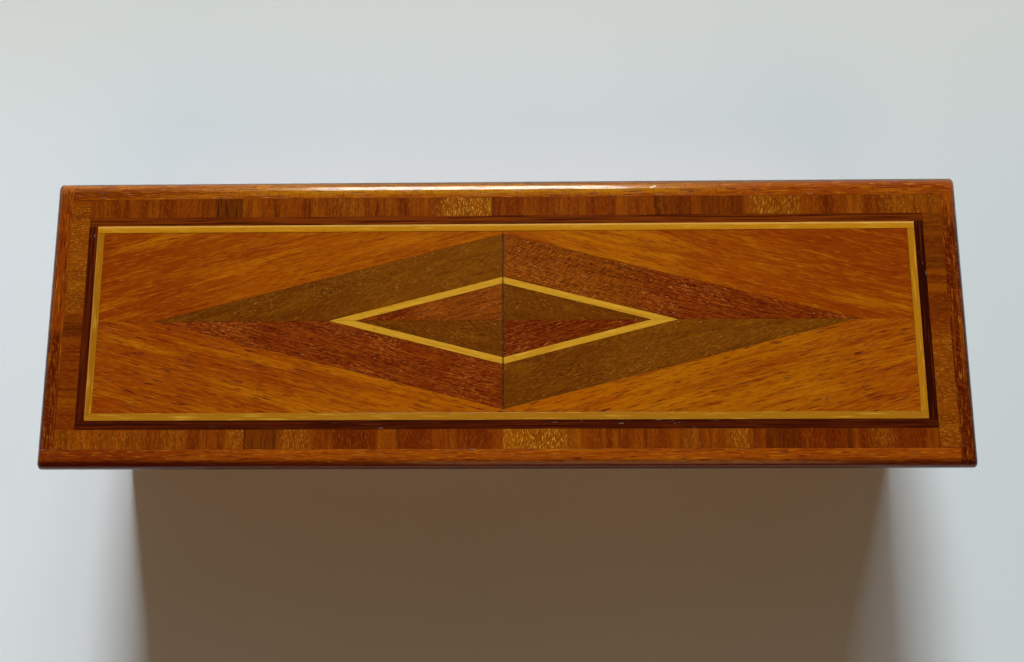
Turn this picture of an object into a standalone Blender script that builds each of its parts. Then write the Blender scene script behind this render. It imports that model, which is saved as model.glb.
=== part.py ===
"""Marquetry pen box: a long, low wooden box with a veneered lid on two hinges.

The box stands on the plane z = 0 with its length along X, its front at -Y and
its middle over the origin. The lid pieces hang on an empty on the hinge pins'
axis and turn about it. Lengths are in metres.
"""

import math

import bmesh
import bpy
from mathutils import Vector

# Overall sizes
LID_LENGTH = 0.2300
LID_WIDTH = 0.0730
TOTAL_HEIGHT = 0.0440
LID_THICKNESS = 0.0070
LID_OVERHANG = 0.0020

# Clearances
LID_GAP = 0.0003
GLUE_LINE = 0.0001
LINING_GAP = 0.0003
KNUCKLE_GAP = 0.0002
PIN_GAP = 0.0001
LEAF_FIT = 0.0002
SCREW_FIT = 0.0001
OVERRUN = 0.0030

# Box
WALL = 0.0060
BODY_CORNER = 0.0015
BODY_EASE = 0.0005
BOTTOM_THICKNESS = 0.0030
REBATE_WIDTH = 0.0030
LINING_THICKNESS = 0.0010

# Lid and its marquetry: the crossbanding is laid in strips cut across a narrow
# sheet, so a long side starts with a short strip and goes on with whole ones
LID_CORNER = 0.0012
LID_ARRIS = 0.0028
LID_EASE = 0.0003
VENEER = 0.0007
LIPPING = 0.0049
CROSSBAND = 0.0048
CROSSBAND_STRIP = 0.0635
FRONT_FIRST_STRIP = 0.0466
BACK_FIRST_STRIP = 0.0390
DARK_STRING = 0.0022
YELLOW_STRING = 0.0018
LOZENGE_END_MARGIN = 0.01395
LOZENGE_SIDE_MARGIN = 0.00075
DIAMOND_SHARE = 0.497
DIAMOND_STRING = 0.0016

# Hinges: the axis lies just outside the back wall, and a strip of wood is left
# between each leaf and the inside of the wall
HINGE_LENGTH = 0.0240
HINGE_PLACE_SHARE = 0.63
AXIS_OFFSET = 0.0003
BARREL_RADIUS = 0.00145
PIN_RADIUS = 0.0006
LEAF_THICKNESS = 0.0009
LEAF_LAND = 0.0011
KNUCKLES = 5

# Screws: the cover is the wood left between a lid screw's tip and the veneer
SCREW_HEAD = 0.0026
SCREW_RIM = 0.0001
SCREW_SHANK = 0.0014
SCREW_SPACING = 0.0140
BOX_SCREW_LENGTH = 0.0065
LID_SCREW_COVER = 0.0014
SLOT_WIDTH = 0.0004
SLOT_DEPTH = 0.0003

# Facets of the round forms
ARRIS_STEPS = 6
EASE_STEPS = 2
CORNER_STEPS = 4
BARREL_STEPS = 24
SCREW_STEPS = 16

# Sizes and levels that follow
BODY_LENGTH = LID_LENGTH - 2 * LID_OVERHANG
BODY_WIDTH = LID_WIDTH - 2 * LID_OVERHANG
INNER_LENGTH = BODY_LENGTH - 2 * WALL
INNER_WIDTH = BODY_WIDTH - 2 * WALL
LID_BOTTOM = TOTAL_HEIGHT - LID_THICKNESS
WALL_TOP = LID_BOTTOM - LID_GAP
FACE_LEVEL = TOTAL_HEIGHT - VENEER
LEAF_FACE = LID_GAP / 2
LEAF_BACK = LEAF_FACE + LEAF_THICKNESS
LEAF_REACH = WALL + AXIS_OFFSET - LEAF_LAND
KNUCKLE_REACH = BARREL_RADIUS + KNUCKLE_GAP
SCREW_REACH = (LEAF_REACH + KNUCKLE_REACH) / 2
LID_SCREW_LENGTH = LID_THICKNESS - VENEER - GLUE_LINE - LID_SCREW_COVER
AXIS = Vector((0.0, BODY_WIDTH / 2 + AXIS_OFFSET, WALL_TOP + LEAF_FACE))

SIDES = ("front", "right", "back", "left")
QUARTERS = {"front_left": (-1, -1), "front_right": (1, -1), "back_right": (1, 1), "back_left": (-1, 1)}


def make_material(name, colour, roughness, metallic=0.0):
    """Return a Principled material."""
    material = bpy.data.materials.new(name)
    material.use_nodes = True
    shader = material.node_tree.nodes["Principled BSDF"]
    shader.inputs["Base Color"].default_value = (*colour, 1.0)
    shader.inputs["Roughness"].default_value = roughness
    shader.inputs["Metallic"].default_value = metallic
    return material


def make_materials():
    """Return the woods, metals and cloth of the box by name."""
    return {
        "mahogany": make_material("mahogany", (0.15, 0.032, 0.014), 0.28),
        "variegated": make_material("variegated", (0.24, 0.085, 0.022), 0.28),
        "rosewood": make_material("rosewood", (0.045, 0.010, 0.004), 0.30),
        "boxwood": make_material("boxwood", (0.56, 0.28, 0.030), 0.32),
        "padauk": make_material("padauk", (0.32, 0.075, 0.018), 0.28),
        "red_veneer": make_material("red_veneer", (0.26, 0.052, 0.016), 0.28),
        "olive_veneer": make_material("olive_veneer", (0.16, 0.085, 0.020), 0.28),
        "core_wood": make_material("core_wood", (0.36, 0.22, 0.11), 0.60),
        "felt": make_material("felt", (0.10, 0.012, 0.018), 0.95),
        "brass": make_material("brass", (0.70, 0.48, 0.18), 0.32, 1.0),
    }


def new_object(name, shape, smooth=False):
    """Turn an edit mesh into an object of the scene."""
    bmesh.ops.recalc_face_normals(shape, faces=shape.faces)
    mesh = bpy.data.meshes.new(name)
    shape.to_mesh(mesh)
    shape.free()
    if smooth:
        mesh.shade_smooth()
        mesh.set_sharp_from_angle(angle=math.radians(35.0))
    thing = bpy.data.objects.new(name, mesh)
    bpy.context.scene.collection.objects.link(thing)
    return thing


def finish(thing, material, place=(0.0, 0.0, 0.0), pivot=None):
    """Give an object its material and its place, on the pivot if it moves."""
    thing.data.materials.clear()
    thing.data.materials.append(material)
    settle(thing, place, pivot)
    return thing


def settle(thing, place, pivot=None):
    """Put an object at a place of the whole box, hung on the pivot if one is given."""
    thing.location = Vector(place)
    if pivot:
        thing.parent = pivot
        thing.location -= pivot.location
    return thing


def extrude(name, corners, travel, smooth=False):
    """Return an object made by extruding a flat polygon along a vector."""
    shape = bmesh.new()
    face = shape.faces.new([shape.verts.new(corner) for corner in corners])
    grown = bmesh.ops.extrude_face_region(shape, geom=[face])["geom"]
    moved = [item for item in grown if isinstance(item, bmesh.types.BMVert)]
    bmesh.ops.translate(shape, verts=moved, vec=travel)
    return new_object(name, shape, smooth)


def plate(name, outline, thickness):
    """Return a flat plate with the given plan, from z = 0 upwards."""
    return extrude(name, [(x, y, 0.0) for x, y in outline], (0.0, 0.0, thickness))


def bar(name, outline, length, smooth=False):
    """Return a bar along X, centred on x = 0, with the given (y, z) section."""
    corners = [(-length / 2, y, z) for y, z in outline]
    return extrude(name, corners, (length, 0.0, 0.0), smooth)


def turn(name, outline, steps):
    """Return a solid turned about Z from (radius, z) points that start and end on the axis."""
    shape = bmesh.new()
    points = [shape.verts.new((radius, 0.0, z)) for radius, z in outline]
    edges = [shape.edges.new(pair) for pair in zip(points, points[1:])]
    bmesh.ops.spin(shape, geom=points + edges, cent=(0.0, 0.0, 0.0), axis=(0.0, 0.0, 1.0),
                   angle=math.tau, steps=steps)
    bmesh.ops.remove_doubles(shape, verts=shape.verts, dist=SCREW_RIM / steps)
    return new_object(name, shape, smooth=True)


def eased_block(name, length, width, height, eases):
    """Return a block from z = 0 upwards, its edges rounded by (test, radius, steps) in turn."""
    shape = bmesh.new()
    bmesh.ops.create_cube(shape, size=1.0)
    bmesh.ops.scale(shape, verts=shape.verts, vec=(length, width, height))
    bmesh.ops.translate(shape, verts=shape.verts, vec=(0.0, 0.0, height / 2))
    for test, radius, steps in eases:
        chosen = [edge for edge in shape.edges if test(edge, height)]
        bmesh.ops.bevel(shape, geom=chosen, offset=radius, segments=steps, profile=0.5,
                        affect="EDGES", clamp_overlap=False)
    return new_object(name, shape, smooth=True)


def is_upright(edge, height):
    """Tell whether an edge runs the full height of its block."""
    low, high = sorted(vertex.co.z for vertex in edge.verts)
    return math.isclose(high - low, height, rel_tol=1e-4)


def is_top(edge, height):
    """Tell whether an edge lies in the top of its block."""
    return all(math.isclose(vertex.co.z, height, rel_tol=1e-4) for vertex in edge.verts)


def is_bottom(edge, height):
    """Tell whether an edge lies in the bottom of its block."""
    return all(vertex.co.z < height / 1e4 for vertex in edge.verts)


def combine(thing, other, operation):
    """Keep a Boolean operation with a hidden guide on an object."""
    modifier = thing.modifiers.new(other.name, "BOOLEAN")
    modifier.operation = operation
    modifier.object = other
    other.hide_render = True
    other.display_type = "WIRE"


def cut(thing, cutters):
    """Cut hidden guides out of an object."""
    for cutter in cutters:
        combine(thing, cutter, "DIFFERENCE")


def arc(radius, start, end, steps):
    """Return points on an arc about the origin, both ends included."""
    angles = [start + (end - start) * step / steps for step in range(steps + 1)]
    return [(radius * math.cos(angle), radius * math.sin(angle)) for angle in angles]


def rectangle(length, width):
    """Return the corners of a centred rectangle, anticlockwise from the front left."""
    x, y = length / 2, width / 2
    return [(-x, -y), (x, -y), (x, y), (-x, y)]


def span(x0, y0, x1, y1):
    """Return the corners of the rectangle between two opposite corners."""
    return [(x0, y0), (x1, y0), (x1, y1), (x0, y1)]


def pinwheel(outer, inner):
    """Return a frame's four sides, each running through one corner and butting at the next."""
    (x, y), (in_x, in_y) = outer, inner
    return {
        "front": span(-x, -y, in_x, -in_y),
        "right": span(in_x, -y, x, in_y),
        "back": span(-in_x, in_y, x, y),
        "left": span(-x, -in_y, -in_x, y),
    }


def butted(outer, inner):
    """Return a frame's four sides, the long ones running through both corners."""
    (x, y), (in_x, in_y) = outer, inner
    return {
        "front": span(-x, -y, x, -in_y),
        "right": span(in_x, -in_y, x, in_y),
        "back": span(-x, in_y, x, y),
        "left": span(-x, -in_y, -in_x, in_y),
    }


def strips(outline, first):
    """Split a long side along X into a first strip, whole strips and what is left."""
    (start, low), (end, _), (_, high), _ = outline
    joints = [start, start + first]
    while joints[-1] + CROSSBAND_STRIP < end:
        joints.append(joints[-1] + CROSSBAND_STRIP)
    joints.append(end)
    return [span(left, low, right, high) for left, right in zip(joints, joints[1:])]


def mitred_side(outer, inner, side):
    """Return one side of a mitred frame, outer edge first."""
    nearer, farther = side, (side + 1) % len(SIDES)
    return [outer[nearer], outer[farther], inner[farther], inner[nearer]]


def inset(outline, gaps):
    """Move each edge of an anticlockwise outline inwards by its own gap."""
    count = len(outline)
    lines = []
    for index, gap in enumerate(gaps):
        start = Vector(outline[index])
        along = (Vector(outline[(index + 1) % count]) - start).normalized()
        inward = Vector((-along.y, along.x))
        lines.append((start + inward * gap, along))
    corners = []
    for index in range(count):
        (here, along), (there, other) = lines[index], lines[index - 1]
        reach = (there - here).cross(other) / along.cross(other)
        corners.append(tuple(here + along * reach))
    return corners


def seamed(outline):
    """Draw an outline in by half a glue line all round."""
    return inset(outline, [GLUE_LINE / 2] * len(outline))


def quarter(outline, signs):
    """Mirror an outline of the back right quarter into another quarter."""
    mirrored = [(x * signs[0], y * signs[1]) for x, y in outline]
    return mirrored if signs[0] == signs[1] else mirrored[::-1]


def make_pivot():
    """Return the empty on the hinge pins' axis that carries the lid."""
    pivot = bpy.data.objects.new("lid_pivot", None)
    pivot.location = AXIS
    pivot.empty_display_size = LID_WIDTH
    bpy.context.scene.collection.objects.link(pivot)
    return pivot


def leaf_outline(mirror):
    """Return the (y, z) section of a leaf with its knuckle rolled round the axis."""
    start = math.asin(LEAF_BACK / BARREL_RADIUS) - math.pi
    end = math.asin(LEAF_FACE / BARREL_RADIUS) + math.pi
    roll = arc(BARREL_RADIUS, start, end, BARREL_STEPS)
    outline = [(-LEAF_REACH, -LEAF_BACK), *roll, (-LEAF_REACH, -LEAF_FACE)]
    return [(y, z * mirror) for y, z in outline]


def housing_outline(mirror):
    """Return the (y, z) section of the recess for a leaf and the barrel."""
    reach, depth = LEAF_REACH + LEAF_FIT, LEAF_BACK + LEAF_FIT
    radius, outside = BARREL_RADIUS + LEAF_FIT, LID_OVERHANG + OVERRUN
    scoop = arc(radius, math.asin(depth / radius) - math.pi, -math.pi / 2, CORNER_STEPS)
    outline = [(-reach, -depth), *scoop, (outside, -radius), (outside, OVERRUN), (-reach, OVERRUN)]
    return [(y, z * mirror) for y, z in outline]


def screw_outline(length, fit=0.0, rise=0.0):
    """Return the (radius, z) outline of a countersunk screw, its head's face at z = 0."""
    head, shank = SCREW_HEAD / 2 + fit, SCREW_SHANK / 2 + fit
    neck, tip = head - shank + SCREW_RIM, length + fit
    return [(0.0, rise), (head, rise), (head, -SCREW_RIM), (shank, -neck), (shank, shank - tip), (0.0, -tip)]


def knuckle_spans():
    """Return where each knuckle of a hinge starts and ends along X."""
    pitch = (HINGE_LENGTH + KNUCKLE_GAP) / KNUCKLES
    starts = [index * pitch - HINGE_LENGTH / 2 for index in range(KNUCKLES)]
    return [(start, start + pitch - KNUCKLE_GAP) for start in starts]


def make_screw_mesh(name, length):
    """Return the mesh of a slotted countersunk screw."""
    screw = turn(name, screw_outline(length), SCREW_STEPS)
    slot = eased_block(f"{name}_slot", SCREW_HEAD + OVERRUN, SLOT_WIDTH, OVERRUN, [])
    settle(slot, (0.0, 0.0, -SLOT_DEPTH))
    cut(screw, [slot])
    graph = bpy.context.evaluated_depsgraph_get()
    mesh = bpy.data.meshes.new_from_object(screw.evaluated_get(graph))
    for spent in (slot, screw):
        bpy.data.objects.remove(spent)
    return mesh


def cut_knuckles(leaf, name, taken, centre, pivot):
    """Cut the pin's bore and the slots for the other leaf's knuckles out of a leaf."""
    bore_outline = arc(PIN_RADIUS + PIN_GAP, 0.0, math.tau, SCREW_STEPS)[:-1]
    bore = settle(bar(f"{name}_bore", bore_outline, HINGE_LENGTH + OVERRUN), centre, pivot)
    cut(leaf, [bore])
    for number, (start, end) in enumerate(knuckle_spans()):
        if number % 2 == taken:
            length = end - start + 2 * KNUCKLE_GAP
            outline = span(-KNUCKLE_REACH, -KNUCKLE_REACH, KNUCKLE_REACH, KNUCKLE_REACH)
            slot = bar(f"{name}_slot_{number}", outline, length)
            settle(slot, centre + Vector(((start + end) / 2, 0.0, 0.0)), pivot)
            cut(leaf, [slot])


def make_hinge_half(prefix, half, centre, brass, pivot):
    """Make a leaf with its two screws and return the guides that house them in the wood."""
    on_lid = half == "lid"
    mirror = -1 if on_lid else 1
    length = LID_SCREW_LENGTH if on_lid else BOX_SCREW_LENGTH
    name = f"{prefix}_{half}_leaf"
    leaf = finish(bar(name, leaf_outline(mirror), HINGE_LENGTH, smooth=True), brass, centre, pivot)
    cut_knuckles(leaf, name, 0 if on_lid else 1, centre, pivot)
    housing = bar(f"{name}_housing", housing_outline(mirror), HINGE_LENGTH + 2 * LEAF_FIT)
    guides = [settle(housing, centre, pivot)]
    mesh = make_screw_mesh(f"{prefix}_{half}_screw", length)
    for number, side in enumerate((-1, 1), start=1):
        place = centre + Vector((side * SCREW_SPACING / 2, -SCREW_REACH, -mirror * LEAF_FACE))
        screw = bpy.data.objects.new(f"{prefix}_{half}_screw_{number}", mesh)
        bpy.context.scene.collection.objects.link(screw)
        finish(screw, brass, place, pivot)
        hole = turn(f"{screw.name}_hole", screw_outline(length, SCREW_FIT, OVERRUN), SCREW_STEPS)
        settle(hole, place, pivot)
        for turned in (screw, hole):
            turned.rotation_euler.x = math.pi if on_lid else 0.0
        cut(leaf, [hole])
        guides.append(hole)
    return guides


def make_hinges(brass, pivot):
    """Make both butt hinges and return the guides for the box and for the lid."""
    box_guides, lid_guides = [], []
    for prefix, side in (("hinge_left", -1), ("hinge_right", 1)):
        centre = AXIS + Vector((side * HINGE_PLACE_SHARE * BODY_LENGTH / 2, 0.0, 0.0))
        box_guides += make_hinge_half(prefix, "box", centre, brass, None)
        lid_guides += make_hinge_half(prefix, "lid", centre, brass, pivot)
        pin_outline = arc(PIN_RADIUS, 0.0, math.tau, SCREW_STEPS)[:-1]
        finish(bar(f"{prefix}_pin", pin_outline, HINGE_LENGTH, smooth=True), brass, centre)
    return box_guides, lid_guides


def make_walls(wood, guides):
    """Make the four mitred walls, rebated for the bottom and housed for the hinges."""
    edges = [(is_upright, BODY_CORNER, CORNER_STEPS), (is_bottom, BODY_EASE, EASE_STEPS)]
    envelope = eased_block("body_envelope", BODY_LENGTH, BODY_WIDTH, TOTAL_HEIGHT, edges)
    rebate_outline = rectangle(INNER_LENGTH + 2 * REBATE_WIDTH, INNER_WIDTH + 2 * REBATE_WIDTH)
    rebate = plate("rebate", rebate_outline, BOTTOM_THICKNESS + GLUE_LINE + OVERRUN)
    settle(rebate, (0.0, 0.0, -OVERRUN))
    outer = rectangle(BODY_LENGTH + 2 * OVERRUN, BODY_WIDTH + 2 * OVERRUN)
    inner = rectangle(INNER_LENGTH, INNER_WIDTH)
    for number, side in enumerate(SIDES):
        outline = inset(mitred_side(outer, inner, number), (0.0, GLUE_LINE / 2, 0.0, GLUE_LINE / 2))
        wall = finish(plate(f"{side}_wall", outline, WALL_TOP), wood)
        combine(wall, envelope, "INTERSECT")
        cut(wall, [rebate])
        if side == "back":
            cut(wall, guides)


def make_bottom(wood, felt):
    """Make the bottom panel in its rebate and the felt that lies on it."""
    length, width = INNER_LENGTH + 2 * REBATE_WIDTH, INNER_WIDTH + 2 * REBATE_WIDTH
    finish(plate("bottom_panel", seamed(rectangle(length, width)), BOTTOM_THICKNESS), wood)
    outline = inset(rectangle(INNER_LENGTH, INNER_WIDTH), [LINING_GAP] * len(SIDES))
    level = BOTTOM_THICKNESS + LINING_GAP
    finish(plate("base_lining", outline, LINING_THICKNESS), felt, (0.0, 0.0, level))


def lid_rectangles():
    """Return the half sizes of the lid's nested frames, from its edge to its field."""
    halves = [(LID_LENGTH / 2, LID_WIDTH / 2)]
    for width in (LIPPING, CROSSBAND, DARK_STRING, YELLOW_STRING):
        x, y = halves[-1]
        halves.append((x - width, y - width))
    return halves


def make_lippings(wood, pivot, guides, inner):
    """Make the four solid edge strips, rolled over at the top of the lid's edge."""
    rolled = [(is_top, LID_ARRIS, ARRIS_STEPS), (is_bottom, LID_EASE, EASE_STEPS)]
    roll = eased_block("lid_roll", LID_LENGTH, LID_WIDTH, LID_THICKNESS, rolled)
    corners = [(is_upright, LID_CORNER, CORNER_STEPS)]
    plan = eased_block("lid_plan", LID_LENGTH, LID_WIDTH, LID_THICKNESS + OVERRUN, corners)
    settle(roll, (0.0, 0.0, LID_BOTTOM), pivot)
    settle(plan, (0.0, 0.0, LID_BOTTOM - OVERRUN / 2), pivot)
    outer = [half + LIPPING + OVERRUN for half in inner]
    for side, outline in pinwheel(outer, inner).items():
        strip = plate(f"lipping_{side}", seamed(outline), LID_THICKNESS)
        finish(strip, wood, (0.0, 0.0, LID_BOTTOM), pivot)
        combine(strip, roll, "INTERSECT")
        combine(strip, plan, "INTERSECT")
        if side == "back":
            cut(strip, guides)


def make_core(core, backing, pivot, guides, inner):
    """Make the lid's core panel and the balancing veneer under it."""
    outline = seamed(rectangle(*(2 * half for half in inner)))
    height = LID_THICKNESS - 2 * (VENEER + GLUE_LINE)
    panel = plate("lid_panel", outline, height)
    finish(panel, core, (0.0, 0.0, LID_BOTTOM + VENEER + GLUE_LINE), pivot)
    cut(panel, guides)
    balance = finish(plate("balance_veneer", outline, VENEER), backing, (0.0, 0.0, LID_BOTTOM), pivot)
    cut(balance, guides)


def lay_veneer(name, outline, wood, pivot):
    """Lay one veneer in the face of the lid."""
    finish(plate(name, seamed(outline), VENEER), wood, (0.0, 0.0, FACE_LEVEL), pivot)


def make_borders(woods, pivot, halves):
    """Lay the crossbanding in its strips, and the two strings inside it."""
    first_strips = {"front": FRONT_FIRST_STRIP, "back": BACK_FIRST_STRIP}
    for side, outline in pinwheel(*halves[1:3]).items():
        if side in first_strips:
            for number, strip in enumerate(strips(outline, first_strips[side]), start=1):
                lay_veneer(f"crossband_{side}_{number}", strip, woods["variegated"], pivot)
        else:
            lay_veneer(f"crossband_{side}", outline, woods["variegated"], pivot)
    for start, name, wood in ((2, "dark_string", "rosewood"), (3, "yellow_string", "boxwood")):
        for side, outline in butted(*halves[start:start + 2]).items():
            lay_veneer(f"{name}_{side}", outline, woods[wood], pivot)


def make_lozenges(woods, pivot, field):
    """Lay the field and the two lozenges, each in four matched quarters, and the diamond string."""
    x, y = field
    large_x, large_y = x - LOZENGE_END_MARGIN, y - LOZENGE_SIDE_MARGIN
    ring_x, ring_y = large_x * DIAMOND_SHARE, large_y * DIAMOND_SHARE
    depth = ring_x * ring_y / math.hypot(ring_x, ring_y)
    small_x, small_y = (half * (depth - DIAMOND_STRING) / depth for half in (ring_x, ring_y))
    outlines = {
        "field": [(large_x, 0.0), (x, 0.0), (x, y), (0.0, y), (0.0, large_y)],
        "lozenge": [(ring_x, 0.0), (large_x, 0.0), (0.0, large_y), (0.0, ring_y)],
        "diamond_string": [(small_x, 0.0), (ring_x, 0.0), (0.0, ring_y), (0.0, small_y)],
        "inner_lozenge": [(0.0, 0.0), (small_x, 0.0), (0.0, small_y)],
    }
    for place, signs in QUARTERS.items():
        rising = signs[0] == signs[1]
        tones = {"field": "padauk", "lozenge": "red_veneer" if rising else "olive_veneer",
                 "diamond_string": "boxwood", "inner_lozenge": "olive_veneer" if rising else "red_veneer"}
        for name, outline in outlines.items():
            lay_veneer(f"{name}_{place}", quarter(outline, signs), woods[tones[name]], pivot)


def lid_stop_angle():
    """Return how far the lid opens before its back overhang meets the back wall, in degrees."""
    back = LID_OVERHANG - AXIS_OFFSET - LID_EASE
    up = LEAF_FACE + LID_EASE
    reach = math.hypot(back, up)
    return math.degrees(math.atan2(up, back) + math.acos((LID_EASE - AXIS_OFFSET) / reach))


def main():
    """Build the whole pen box."""
    for old in list(bpy.data.objects):
        bpy.data.objects.remove(old)
    woods = make_materials()
    pivot = make_pivot()
    box_guides, lid_guides = make_hinges(woods["brass"], pivot)
    make_walls(woods["mahogany"], box_guides)
    make_bottom(woods["core_wood"], woods["felt"])
    halves = lid_rectangles()
    make_lippings(woods["mahogany"], pivot, lid_guides, halves[1])
    make_core(woods["core_wood"], woods["mahogany"], pivot, lid_guides, halves[1])
    make_borders(woods, pivot, halves)
    make_lozenges(woods, pivot, halves[-1])
    print(f"the lid opens {lid_stop_angle():.1f} degrees")


main()
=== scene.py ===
import logging
import math
from dataclasses import dataclass
from enum import Enum
from typing import Callable, ClassVar, Optional, Sequence

import bmesh
import bpy
from mathutils import Euler, Matrix, Vector, noise


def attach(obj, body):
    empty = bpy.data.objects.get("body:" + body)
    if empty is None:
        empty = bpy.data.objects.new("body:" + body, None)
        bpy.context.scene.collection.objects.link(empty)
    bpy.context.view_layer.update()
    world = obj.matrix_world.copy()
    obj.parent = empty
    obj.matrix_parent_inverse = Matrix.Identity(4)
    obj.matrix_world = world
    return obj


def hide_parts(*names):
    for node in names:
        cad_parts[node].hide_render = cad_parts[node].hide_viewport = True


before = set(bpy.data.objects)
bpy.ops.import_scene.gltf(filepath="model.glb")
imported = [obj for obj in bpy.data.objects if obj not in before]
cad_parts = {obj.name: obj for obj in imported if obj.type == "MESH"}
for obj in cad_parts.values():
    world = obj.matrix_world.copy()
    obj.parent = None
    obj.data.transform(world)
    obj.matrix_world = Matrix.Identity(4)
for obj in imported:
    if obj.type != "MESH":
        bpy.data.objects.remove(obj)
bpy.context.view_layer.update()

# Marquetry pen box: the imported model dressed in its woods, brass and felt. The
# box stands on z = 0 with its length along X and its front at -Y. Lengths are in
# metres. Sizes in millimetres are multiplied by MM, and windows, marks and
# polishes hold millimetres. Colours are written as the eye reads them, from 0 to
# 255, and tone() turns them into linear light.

MM = 0.001
# What counts as near an edge and as touching it, the angle from which an edge
# is shaded sharp, and the least cosine that a mitre is drawn in by.
NEAR = MM / 100
TOUCH = MM / 1000
SHARP_FROM = math.radians(20.0)
LEAST_COSINE = 0.05
LOG = logging.getLogger("pen_box")

Colour = tuple[float, float, float]
Place = tuple[float, float, float]
Point = tuple[float, float]
Socket = bpy.types.NodeSocket
Shape = bmesh.types.BMesh
Edge = bmesh.types.BMEdge
EdgeTest = Callable[[Edge], bool]
ORIGIN: Place = (0.0, 0.0, 0.0)


class Named(Enum):
    """A choice whose name is part of the names in the model."""

    @property
    def label(self) -> str:
        """The choice's name in the model."""
        return self.name.lower()


class Side(Named):
    """A side of the box, valued by its quarter turns from the front."""

    FRONT = 0
    RIGHT = 1
    BACK = 2
    LEFT = 3

    @property
    def is_long(self) -> bool:
        """True for the front and the back."""
        return self in (Side.FRONT, Side.BACK)

    @property
    def grain(self) -> float:
        """The turn of grain that runs along the side, in degrees."""
        return 0.0 if self.is_long else 90.0


class Quarter(Named):
    """A quarter of the lid, valued by the signs of its X and Y."""

    FRONT_LEFT = (-1, -1)
    FRONT_RIGHT = (1, -1)
    BACK_RIGHT = (1, 1)
    BACK_LEFT = (-1, 1)

    @property
    def slope(self) -> int:
        """The sign of the quarter's grain: 1 rises to the right, -1 falls."""
        return -self.value[0] * self.value[1]


class Axis(Enum):
    """An axis of the box, valued by its place in a vector."""

    X = 0
    Y = 1
    Z = 2


X, Y, Z = Axis


class Body(Enum):
    """The two bodies that the pieces ride on."""

    BOX = "box"
    LID = "lid"


class Light(Enum):
    """Whether a lamp lights colours, shines in gloss, or both."""

    BOTH = "both"
    COLOUR = "colour"
    GLOSS = "gloss"


class Slot(Enum):
    """The record's material slots."""

    MAHOGANY = "mahogany"
    VARIEGATED = "variegated"
    ROSEWOOD = "rosewood"
    BOXWOOD = "boxwood"
    PADAUK = "padauk"
    RED = "red_veneer"
    OLIVE = "olive_veneer"
    CORE = "core_wood"
    FELT = "felt"
    BRASS = "brass"


def tone(red: float, green: float, blue: float) -> Colour:
    """Turn a colour from 0 to 255, as the eye reads it, into linear light by the sRGB curve."""
    shares = [value / 255.0 for value in (red, green, blue)]
    return tuple(s / 12.92 if s <= 0.04045 else ((s + 0.055) / 1.055) ** 2.4 for s in shares)


@dataclass(frozen=True)
class Window:
    """A stretch along one axis of the box, in millimetres, within which a mark shows."""

    axis: Axis
    start: float
    end: float
    fade: float = 1.6
    wander: float = 0.5


@dataclass(frozen=True)
class Mark:
    """One kind of mark in a finish, from broad bands down to single pores.

    A mark of no length is an even tint. The rest is noise drawn out along the
    grain, which shows where it rises from low to high. A mark with a region
    keeps to patches of that length and width. A mark laid under comes before
    the wood's own marks, so that it tints the ground alone. Lengths, widths and
    depths are in millimetres and turns in degrees.
    """

    colour: Colour
    strength: float
    length: float = 0.0
    width: float = 0.0
    low: float = 0.5
    high: float = 0.7
    turn: float = 0.0
    detail: float = 2.0
    warp: float = 0.0
    depth: float = 0.0
    region: Optional[Point] = None
    windows: tuple[Window, ...] = ()
    under: bool = False


@dataclass(frozen=True)
class Polish:
    """How a finish shines: its own gloss, the coat over it and the ripple, in millimetres."""

    roughness: float = 0.24
    spread: float = 0.08
    specular: float = 0.05
    tint: Colour = (1.0, 0.86, 0.64)
    coat: float = 0.12
    coat_roughness: float = 0.10
    ripple: float = 0.0030
    ripple_length: float = 5.0
    ripple_width: float = 1.6


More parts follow.
